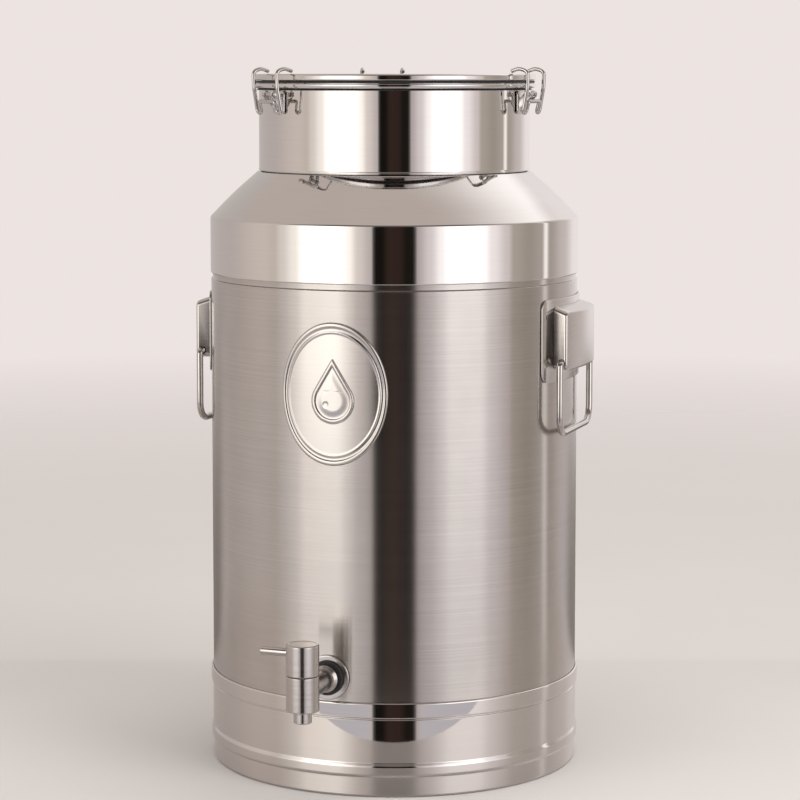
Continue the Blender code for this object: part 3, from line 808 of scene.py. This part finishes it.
def bracket_mesh():
    """A plate spot-welded to the neck, with two rounded ears for the pin."""
    back = NECK_RADIUS + 0.5 * MM - PIN[0] * MM
    front = back + 1.5 * MM
    plate = prism(rounded_rectangle((18 * MM, 20 * MM), 3 * MM, (0, -7 * MM)), "X", back, front)
    nose = 3.4 * MM
    ear = [(back + 0.5 * MM, -14 * MM), (front + 1.5 * MM, -12 * MM)]
    ear += [polar(nose, math.radians(degrees)) for degrees in range(-50, 131, 10)]
    ear += [(back + 0.5 * MM, -6 * MM)]
    ears = [prism(ear, "Y", low, low + 1.3 * MM) for low in (-6.9 * MM, 5.6 * MM)]
    hole = rod(2.4 * MM, "Y", -10 * MM, 10 * MM, segments=32)
    joined = combined(plate, "UNION", *ears)
    return bevelled(combined(joined, "DIFFERENCE", hole), 0.3 * MM, 2)


def lever_stations():
    """Points along the lever from its folded top to the end of its tab, closer at the very end."""
    top = ((135.2, -4.9), (137.6, -5.4), (138.3, -9.5), (137.4, -17.0))
    middle = ((133.2, -30.0), (128.6, -44.6), (127.4, -48.4))
    tab = ((131.0, -49.2), (150.6, -56.2))
    radii = (1.6 * MM, 5 * MM, 8 * MM, 30 * MM, 20 * MM, 1.9 * MM, 3.0 * MM)
    line = filleted([latch_point(*spot) for spot in top + middle + tab], radii, 6)
    dense = [line[0]]
    for before, after in zip(line, line[1:]):
        pieces = max(1, round((after - before).length / (1.1 * MM)))
        dense += [before.lerp(after, step / pieces) for step in range(1, pieces + 1)]
    last, tip = dense[-2:]
    return dense[:-1] + [last.lerp(tip, share) for share in (0.4, 0.7, 0.88, 0.97, 1)]


def lever_mesh():
    """One folded strip: a curled top, a channel with two flanges, and a dished oval thumb tab."""
    line = lever_stations()
    tab_length = 23.4 * MM
    total = sum((after - before).length for before, after in zip(line, line[1:]))
    rings = []
    travelled = 0.0
    for index, point in enumerate(line):
        before, after = line[max(index - 1, 0)], line[min(index + 1, len(line) - 1)]
        ahead = (after - before).normalized()
        outward = Vector((-ahead.z, 0, ahead.x))
        if index:
            travelled += (point - before).length
        remaining = total - travelled
        opening = smooth_step(3 * MM, 7 * MM, travelled)
        closing = smooth_step(38 * MM, 47 * MM, travelled)
        half_width, dish = 9.8 * MM, 0.0
        depth = (1.2 + 6.3 * opening * (1 - closing)) * MM
        if remaining < tab_length:
            share = 1 - 2 * remaining / tab_length
            half_width = 12.2 * MM * math.sqrt(max(1 - share * share, 0.004))
            if share < -0.62:
                half_width = max(half_width, 8.6 * MM)
            depth = 0.9 * MM
            dish = 1.1 * MM * (1 - share * share)
        rings.append(channel_ring(point, outward, half_width, depth, dish))
    return loft(rings)


def channel_ring(point, outward, half_width, depth, dish):
    """A closed cross-section of folded sheet: a web with rounded folds into two flanges."""
    fold = min(1.6 * MM, depth, half_width * 0.5)
    outer, inner = [], []
    for sign in (-1, 1):
        folded = [(sign * half_width, -depth, sign, 0)]
        for step in range(6):
            angle = math.radians(90) * step / 5
            u = sign * (half_width - fold + fold * math.cos(angle))
            w = -fold + fold * math.sin(angle)
            folded.append((u, w, sign * math.cos(angle), math.sin(angle)))
        if sign < 0:
            outer += folded
        else:
            for across in (-0.66, -0.33, 0.0, 0.33, 0.66):
                u = across * (half_width - fold)
                outer.append((u, -dish * (1 - across * across), 0, 1))
            outer += folded[::-1]
    for u, w, normal_u, normal_w in outer:
        inner.append((u - normal_u * LEVER_SHEET, w - normal_w * LEVER_SHEET))
    section = [(u, w) for u, w, _, _ in outer] + inner[::-1]
    return [point + outward * w + Vector((0, u, 0)) for u, w in section]


def hook_path():
    """The bent wire: over the lid's rim, down, round and back up to the lever on each side."""
    wide, narrow = 19, 12.5
    hook = [(121.3, 10.5, wide), (128.5, 13.1, wide), (137.0, 10.6, wide), (136.3, -4.0, wide)]
    foot = [(132.4, -25.5, wide), (132.4, -25.5, narrow), (*EYE, narrow)]
    half = [latch_point(*spot, EYE) for spot in hook + foot]
    radii = [9 * MM, 5 * MM, 25 * MM, 3.2 * MM, 3.2 * MM, 2 * MM]
    corners = half + [Vector((point.x, -point.y, point.z)) for point in reversed(half)]
    return filleted(corners, radii + radii[::-1], 8)


def make_latches():
    """A bracket and a pin on the neck, and a lever and a hook that are each a body of their own."""
    for number in (1, 2, 3):
        pin = Vector(JOINTS[f"latch_{number}_lever_swing"]["pos_m"])
        eye = Vector(JOINTS[f"latch_{number}_hook_swing"]["pos_m"])
        turn = math.atan2(pin.y, pin.x)
        arm, wire = f"latch_lever_{number}", f"latch_hook_{number}"
        bracket, pin_node = f"latch_bracket_{number}", f"latch_pin_{number}"
        plate = bracket_mesh()
        piece(bracket + "_pressed", plate, PRESSED, "can", bracket, pin, turn)
        shaft = bar([(0, -10.3 * MM, 0), (0, 0, 0), (0, 10.3 * MM, 0)], 2 * MM, 24, 0.6 * MM)
        piece(pin_node + "_turned", shaft, WIRE, "can", pin_node, pin, turn)
        pin_hole = rod(2.4 * MM, "Y", -15 * MM, 15 * MM)
        eye_hole = rod(2.2 * MM, "Y", -15 * MM, 15 * MM, latch_point(*EYE).xz)
        lever = combined(lever_mesh(), "DIFFERENCE", pin_hole, eye_hole)
        piece(arm + "_folded", lever, PRESSED, arm, arm, pin, turn)
        hook = bar(hook_path(), HOOK_WIRE, 20, 0.5 * MM)
        piece(wire + "_wire", hook, WIRE, wire, wire, eye, turn)


# ---- Side handles ----

HOUSING_WIDTH = 89.6 * MM
HOUSING_BACK = BODY_RADIUS + 2.2 * MM
TOP_SLOPE = 0.34


def handle_plate_mesh(low, high):
    """The curved plate under a handle, with softened edges and four spot-weld dimples."""
    width, middle = 124 * MM, (low + high) / 2
    outline = rounded_rectangle((width, high - low), 9 * MM, (0, middle))
    plate = prism(outline, "X", BODY_RADIUS + 0.4 * MM, BODY_RADIUS + 1.9 * MM)
    plate = bevelled(plate, 0.7 * MM, 4, 60)
    dome = [(0, 0), (1.5 * MM, 0), (2.4 * MM, 0.35 * MM), (1.9 * MM, 0.6 * MM), (0, 0.45 * MM)]
    welds = []
    for along in (-56, 56):
        for up in (-22, 22):
            place = Matrix.Translation((BODY_RADIUS + 1.6 * MM, along * MM, middle + up * MM))
            weld = lathe(dome, 24, False)
            welds.append(moved(weld, place @ Matrix.Rotation(math.radians(90), 4, "Y")))
    return bent(merged(plate, *welds))


def housing_ring(depth, low, high, inset, corner):
    """The cover's outline at one distance out from the axis; its top slopes down outwards."""
    drop = TOP_SLOPE * (depth - HOUSING_BACK)
    size = (HOUSING_WIDTH - 2 * inset, high - drop - low - 2 * inset)
    outline = rounded_rectangle(size, corner, (0, (low + high - drop) / 2))
    return [(depth, u, v) for u, v in outline]


def housing_mesh(low, high, face, pivot):
    """A pressed cover with generous edge radii, open towards the can, holed for the bail."""
    wall, edge = 1.2 * MM, 2.4 * MM
    outer = [housing_ring(HOUSING_BACK, low, high, 0, 5 * MM)]
    for step in range(9):
        angle = math.radians(90) * step / 8
        inset = edge * (1 - math.cos(angle))
        depth = face - edge + edge * math.sin(angle)
        outer.append(housing_ring(depth, low, high, inset, max(5 * MM - inset, 3 * MM)))
    behind, floor = HOUSING_BACK - 2 * MM, face - wall
    hollow = ((behind, wall), (floor - 1.4 * MM, wall), (floor, 2.6 * MM))
    inner = [housing_ring(depth, low, high, inset, 3.6 * MM) for depth, inset in hollow]
    cover = bent(combined(loft(outer), "DIFFERENCE", loft(inner)), 4 * MM)
    hole = rod(3.5 * MM, "Y", -HOUSING_WIDTH, HOUSING_WIDTH, pivot)
    return combined(cover, "DIFFERENCE", hole)


def bail_mesh():
    """A wire loop whose turned-in ends hang in the housing."""
    half = [(0, 41 * MM, 0), (0, 52 * MM, 0), (0, 52 * MM, -62 * MM)]
    corners = half + [(x, -y, z) for x, y, z in reversed(half)]
    return bar(filleted(corners, (4 * MM, 15 * MM, 15 * MM, 4 * MM), 12), 3 * MM, 32, 0.8 * MM)


def make_side_handles():
    for side, azimuth in (("left", -math.pi / 2), ("right", math.pi / 2)):
        turn = facing(azimuth)
        pivot = Vector(JOINTS[f"bail_{side}_swing"]["pos_m"])
        plate, housing, bail = (f"handle_{kind}_{side}" for kind in ("plate", "housing", "bail"))
        low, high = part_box(plate)
        mesh = handle_plate_mesh(low.z, high.z)
        piece(plate + "_pressed", mesh, PRESSED, "can", plate, turn=turn)
        low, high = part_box(housing)
        face = high.x if side == "right" else -low.x
        cover = housing_mesh(low.z, high.z, face, (abs(pivot.x), pivot.z))
        piece(housing + "_pressed", cover, PRESSED, "can", housing, turn=turn)
        loop, body = bail_mesh(), f"bail_{side}"
        piece(bail + "_wire", loop, WIRE, body, bail, pivot, turn)


# ---- Tap ----

BARREL_RADIUS = 14 * MM
PORT_RADIUS = 5 * MM


def along_stem(corners):
    """Turns rounded (radius, distance out from the can's axis) corners about the tap's stem."""
    raised = Matrix.Translation((0, 0, TAP.z))
    level = raised @ Matrix.Rotation(math.radians(90), 4, "X")
    return moved(turned(corners, steps=4, segments=96), level)


def stem_ring(radius, near, far):
    """A flat ring round the stem with a rounded outer edge, by distances out from the wall."""
    bore = 10.9 * MM
    near, far = BODY_RADIUS + near, BODY_RADIUS + far
    corners = [
        (bore, near, 0.2 * MM),
        (radius, near, 0.3 * MM),
        (radius, far, 0.9 * MM),
        (bore, far, 0.2 * MM),
    ]
    return along_stem(corners)


def make_tap_fittings():
    """The polished washer against the can and the rubber gasket on it."""
    washer = stem_ring(19.5 * MM, 0.5 * MM, 2 * MM)
    node = "tap_washer"
    piece("tap_washer_turned", washer, PRESSED, "can", node, turn=TAP_TURN)
    gasket = stem_ring(15 * MM, 2.3 * MM, 5.3 * MM)
    node = "tap_outer_gasket"
    piece("tap_gasket_rubber", gasket, RUBBER, "can", node, turn=TAP_TURN)


def make_tap_body():
    """The barrel with its outlet and the flanged stem that passes through the can's wall."""
    wall, reach = BODY_RADIUS, TAP.xy.length
    low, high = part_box("tap_body")[0].z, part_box("tap_body")[1].z
    radius, port = BARREL_RADIUS, PORT_RADIUS
    stem = [
        (port - 0.6 * MM, wall - 17 * MM, 0),
        (10.5 * MM, wall - 17 * MM, 0.6 * MM),
        (10.5 * MM, wall + 5.6 * MM, 0.1 * MM),
        (11.8 * MM, wall + 5.6 * MM, 0.4 * MM),
        (11.8 * MM, wall + 8.3 * MM, 0.7 * MM),
        (9.2 * MM, wall + 10.3 * MM, 1.2 * MM),
        (9.8 * MM, reach - 6 * MM, 0),
        (port - 0.6 * MM, reach - 6 * MM, 0),
    ]
    corners = [
        (0, low, 0),
        (radius, low, 0.9 * MM),
        (radius, high, 0.7 * MM),
        (0, high, 0),
    ]
    centre = (0, -reach)
    barrel = turned(corners, closed=False, steps=4, segments=128)
    barrel = moved(barrel, Matrix.Translation((0, -reach, 0)))
    chamber = rod(10 * MM, "Z", low + 9 * MM, high + 1 * MM, centre, 96)
    outlet = rod(port, "Z", low - 1 * MM, low + 10 * MM, centre)
    inlet = rod(port, "Y", 5 * MM - reach, 12 * MM - wall, (0, TAP.z))
    void = combined(chamber, "UNION", outlet, inlet)
    body = combined(combined(barrel, "UNION", along_stem(stem)), "DIFFERENCE", void)
    piece("tap_body_turned", body, SATIN, "can", "tap_body", turn=TAP_TURN)
    spout_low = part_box("tap_spout")[0].z
    spout = [
        (port, spout_low, 0.8 * MM),
        (7.65 * MM, spout_low, 0.8 * MM),
        (7.65 * MM, low - 0.3 * MM, 0.3 * MM),
        (port, low - 0.3 * MM, 0.3 * MM),
    ]
    nozzle = turned(spout, steps=4, segments=96)
    place = (TAP.x, TAP.y, 0)
    piece("tap_spout_turned", nozzle, SATIN, "can", "tap_spout", place)


def make_tap_key():
    """The knob and its lever, which turn together about the tap's upright axis."""
    low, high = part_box("tap_knob")[0].z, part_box("tap_knob")[1].z
    radius, bore = BARREL_RADIUS, 4.4 * MM
    corners = [
        (0, low + 12.5 * MM, 0),
        (bore, low + 12.5 * MM, 0.4 * MM),
        (bore, low, 0.4 * MM),
        (radius, low, 0.8 * MM),
        (radius, high, 1.1 * MM),
        (radius - 2.2 * MM, high, 0.5 * MM),
        (radius - 2.6 * MM, high - 0.25 * MM, 0.4 * MM),
        (0, high - 0.25 * MM, 0),
    ]
    lever_low, lever_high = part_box("tap_lever")
    height = (lever_low.z + lever_high.z) / 2
    knob = turned(corners, closed=False, steps=4, segments=128)
    socket = rod(4 * MM, "X", -radius - 2 * MM, -7 * MM, (0, height))
    knob = combined(knob, "DIFFERENCE", socket)
    place = (TAP.x, TAP.y, 0)
    piece("tap_knob_turned", knob, SATIN, "tap_key", "tap_knob", place, TAP_TURN)
    path = [(-7.5 * MM, 0, 0), (-20 * MM, 0, 0), (lever_low.x - TAP.x, 0, 0)]
    lever = bar(path, 3.6 * MM, 40, 0.9 * MM)
    place, node = (TAP.x, TAP.y, height), "tap_lever"
    piece("tap_lever_turned", lever, WIRE, "tap_key", node, place, TAP_TURN)


def finish_cad_nodes():
    """The CAD nodes that stay, all inside the can, get the finished materials."""
    for node, finish in (("tap_inner_gasket", RUBBER), ("tap_nut", SATIN), ("tap_plug", SATIN)):
        mesh = frame["nodes"][node].data
        mesh.materials.clear()
        mesh.materials.append(finish)


# ---- Studio ----

BACKDROP = (0.845, 0.775, 0.755)
FLOOR_COLOUR = (0.65, 0.635, 0.62)
FLOOR_MOTTLE = tuple(share * 1.03 for share in FLOOR_COLOUR)
FLOOR_RADIUS = 3.6
FLOOR_FADE = (0.5, 3.4)  # distances from the can between which the floor thins out
TABLE_COLOUR = (0.60, 0.565, 0.545)
TABLE_REACH = (0.35, 0.8, 0.36)  # towards the camera, to each side, and away
LIGHT_TARGET = Vector((0, 0, 0.2))

# What the walls of the studio look like in a mirror, by bearing from the camera in degrees: grey
# walls, a wide softbox either side of the camera, and the dark doorway it stands in.
WALLS = (
    (-180, (0.42, 0.39, 0.37)),
    (-125, (0.42, 0.37, 0.35)),
    (-88, (0.53, 0.46, 0.42)),
    (-79, (0.50, 0.44, 0.39)),
    (-73, (0.63, 0.57, 0.53)),
    (-64, (0.86, 0.80, 0.74)),
    (-56, (1.32, 1.23, 1.14)),
    (-35, (1.46, 1.39, 1.30)),
    (-28, (1.02, 0.95, 0.89)),
    (-22, (0.64, 0.57, 0.53)),
    (-14.2, (0.46, 0.41, 0.39)),
    (-12.2, (0.008, 0.007, 0.006)),
    (-8, (0.007, 0.006, 0.005)),
    (-3, (0.03, 0.018, 0.013)),
    (3, (0.028, 0.016, 0.014)),
    (8, (0.010, 0.008, 0.006)),
    (12, (0.012, 0.010, 0.008)),
    (14.5, (0.42, 0.37, 0.36)),
    (22, (0.63, 0.57, 0.56)),
    (29, (0.95, 0.90, 0.89)),
    (35, (1.30, 1.24, 1.22)),
    (54, (1.26, 1.20, 1.19)),
    (63, (0.82, 0.76, 0.75)),
    (74, (0.58, 0.51, 0.50)),
    (79, (0.37, 0.325, 0.285)),
    (92, (0.31, 0.27, 0.235)),
    (104, (0.36, 0.32, 0.29)),
    (108, (0.92, 0.86, 0.83)),
    (112, (0.34, 0.30, 0.27)),
    (130, (0.50, 0.44, 0.42)),
    (150, (0.72, 0.67, 0.66)),
    (180, (0.60, 0.56, 0.55)),
)
CEILING = (0.427, 0.372, 0.342)
SKYLIGHT = (0.97, 0.92, 0.90)
SKYLIGHT_DIRECTION = (0.4755, 0.6545, 0.588)
LOW_WALLS = (0.434, 0.407, 0.425)
LOW_BEHIND = (0.17, 0.148, 0.132)
OVERHEAD = (0.10, 0.086, 0.078)
UNDERFOOT = (0.46, 0.42, 0.39)
STUDIO_STRENGTH = 4 / 3


def make_world():
    """The studio as the polished steel sees it, and a plain pale backdrop for the camera."""
    world = bpy.data.worlds.new("studio")
    bpy.context.scene.world = world
    world.use_nodes = True
    world.node_tree.nodes.clear()
    nodes = Nodes(world.node_tree)
    direction = nodes.add("ShaderNodeTexCoord").outputs["Generated"]
    turn = {"Vector": direction, "Angle": -CAMERA_AZIMUTH}
    view = nodes.add("ShaderNodeVectorRotate", turn, rotation_type="Z_AXIS").outputs["Vector"]
    x, y, z = nodes.add("ShaderNodeSeparateXYZ", {"Vector": view}).outputs
    bearing = nodes.math("ARCTAN2", x, nodes.product(y, -1.0))
    share = nodes.math("ADD", nodes.math("DIVIDE", bearing, math.tau), 0.5)
    ramp = nodes.add("ShaderNodeValToRGB", {"Fac": share})
    ramp.color_ramp.interpolation = "EASE"
    stops = ramp.color_ramp.elements
    stops.remove(stops[1])
    stops[0].color = (*WALLS[0][1], 1)
    for degrees, shade in WALLS[1:]:
        stops.new(degrees / 360 + 0.5).color = (*shade, 1)

    # Further up and down, by the sine of the elevation, and behind the can, where y is near 1
    towards = {0: view, 1: Vector(SKYLIGHT_DIRECTION).normalized()}
    dot = nodes.add("ShaderNodeVectorMath", towards, operation="DOT_PRODUCT")
    glow = nodes.ranged(dot.outputs["Value"], 0, 1, 0.62, 1.0)
    ceiling = nodes.blend(nodes.product(glow, glow), CEILING, SKYLIGHT)
    colour = nodes.blend(nodes.step(z, 0.42, 0.62), ramp.outputs["Color"], ceiling)
    overhead = nodes.product(nodes.step(z, 0.42, 0.60), nodes.step(z, 0.96, 0.88))
    colour = nodes.blend(nodes.product(overhead, nodes.step(y, 0.0, -0.3)), colour, OVERHEAD)
    dimmed = nodes.add("ShaderNodeVectorMath", {0: colour, 1: LOW_WALLS}, operation="MINIMUM")
    colour = nodes.blend(nodes.step(z, -0.13, -0.22), colour, dimmed.outputs["Vector"])
    behind = nodes.product(nodes.step(y, 0.66, 0.86), nodes.step(z, -0.09, -0.17))
    colour = nodes.blend(behind, colour, LOW_BEHIND)
    colour = nodes.blend(nodes.step(z, -0.40, -0.80), colour, UNDERFOOT)

    studio = nodes.add("ShaderNodeBackground", {"Color": colour, "Strength": STUDIO_STRENGTH})
    backdrop = nodes.add("ShaderNodeBackground", {"Color": BACKDROP})
    camera_ray = nodes.add("ShaderNodeLightPath").outputs["Is Camera Ray"]
    shaders = {0: camera_ray, 1: studio.outputs[0], 2: backdrop.outputs[0]}
    mixed = nodes.add("ShaderNodeMixShader", shaders)
    nodes.add("ShaderNodeOutputWorld", {"Surface": mixed.outputs[0]})


def stage_mesh(name, corners, material):
    """A flat stage piece on the floor."""
    mesh = bpy.data.meshes.new(name)
    mesh.from_pydata([(x, y, FLOOR) for x, y in corners], [], [tuple(range(len(corners)))])
    mesh.materials.append(material)
    obj = added(name, mesh)
    return obj


def floor_material():
    """A matt pale floor that fades into the backdrop far from the can."""
    surface = Surface("pale_floor")
    mottle = surface.ranged(surface.noise((3, 3, 3), 2.0), 0, 1)
    distance = surface.add("ShaderNodeVectorMath", {0: surface.coordinates}, operation="LENGTH")
    inputs = {
        "Base Color": surface.blend(mottle, FLOOR_COLOUR, FLOOR_MOTTLE),
        "Roughness": 0.6,
        "Specular IOR Level": 0.2,
        "Alpha": surface.ranged(distance.outputs["Value"], 1, 0, *FLOOR_FADE),
    }
    return surface.finished(inputs)


def make_stage():
    """The floor the camera sees, and the small pale table top that the steel reflects."""
    floor = stage_mesh("floor", circle(FLOOR_RADIUS, segments=96), floor_material())
    floor.visible_glossy = False
    steel_like = {"Base Color": TABLE_COLOUR, "Metallic": 0.6, "Roughness": 0.32}
    table = Surface("pale_table").finished(steel_like)
    near, side, far = TABLE_REACH
    corners = []
    for u, v in ((-side, -near), (side, -near), (side, far), (-side, far)):
        corner = Vector((u, v, 0))
        corner.rotate(Matrix.Rotation(CAMERA_AZIMUTH, 3, "Z"))
        corners.append(corner.xy)
    table_top = stage_mesh("table_top", corners, table)
    table_top.location.z = 0.1 * MM
    table_top.visible_camera = False
    table_top.visible_diffuse = False
    table_top.visible_shadow = False


def make_light(name, bearing, elevation, distance, size, power, colour):
    """A soft area light aimed at the can, seen only by matt surfaces."""
    light = bpy.data.lights.new(name, "AREA")
    light.shape = "RECTANGLE"
    light.size, light.size_y = size
    light.energy = power
    light.color = colour
    obj = added(name, light)
    angle = CAMERA_AZIMUTH + math.radians(bearing)
    level = math.radians(elevation)
    out = math.cos(level)
    away = Vector((math.sin(angle) * out, -math.cos(angle) * out, math.sin(level)))
    obj.location = LIGHT_TARGET + away * distance
    obj.rotation_euler = away.to_track_quat("Z", "Y").to_euler()
    obj.visible_glossy = False


def make_camera():
    camera = bpy.data.cameras.new("camera")
    camera.lens = CAMERA_LENS
    camera.shift_x, camera.shift_y = CAMERA_SHIFT
    camera.clip_end = 50
    obj = added("camera", camera)
    obj.location = (
        CAMERA_DISTANCE * math.sin(CAMERA_AZIMUTH),
        -CAMERA_DISTANCE * math.cos(CAMERA_AZIMUTH),
        FLOOR + CAMERA_HEIGHT,
    )
    obj.rotation_euler = (math.pi / 2 - CAMERA_PITCH, 0, CAMERA_AZIMUTH)
    bpy.context.scene.camera = obj


def make_studio():
    bpy.context.scene.view_settings.view_transform = "Standard"
    make_world()
    make_stage()
    make_light("top_light", 20, 75, 2.4, (2.2, 2.2), 34, (1.0, 0.975, 0.96))
    make_light("left_light", -55, 35, 2.6, (1.4, 1.8), 8, (1.0, 0.98, 0.96))
    make_light("right_light", 50, 35, 2.6, (1.4, 1.8), 24, (1.0, 0.98, 0.97))
    make_camera()


make_body()
make_body_weld()
make_base_ring()
make_shoulder()
make_neck()
make_bottom()
make_badge()
make_lid()
make_lid_handle()
make_latches()
make_side_handles()
make_tap_fittings()
make_tap_body()
make_tap_key()
finish_cad_nodes()
make_studio()
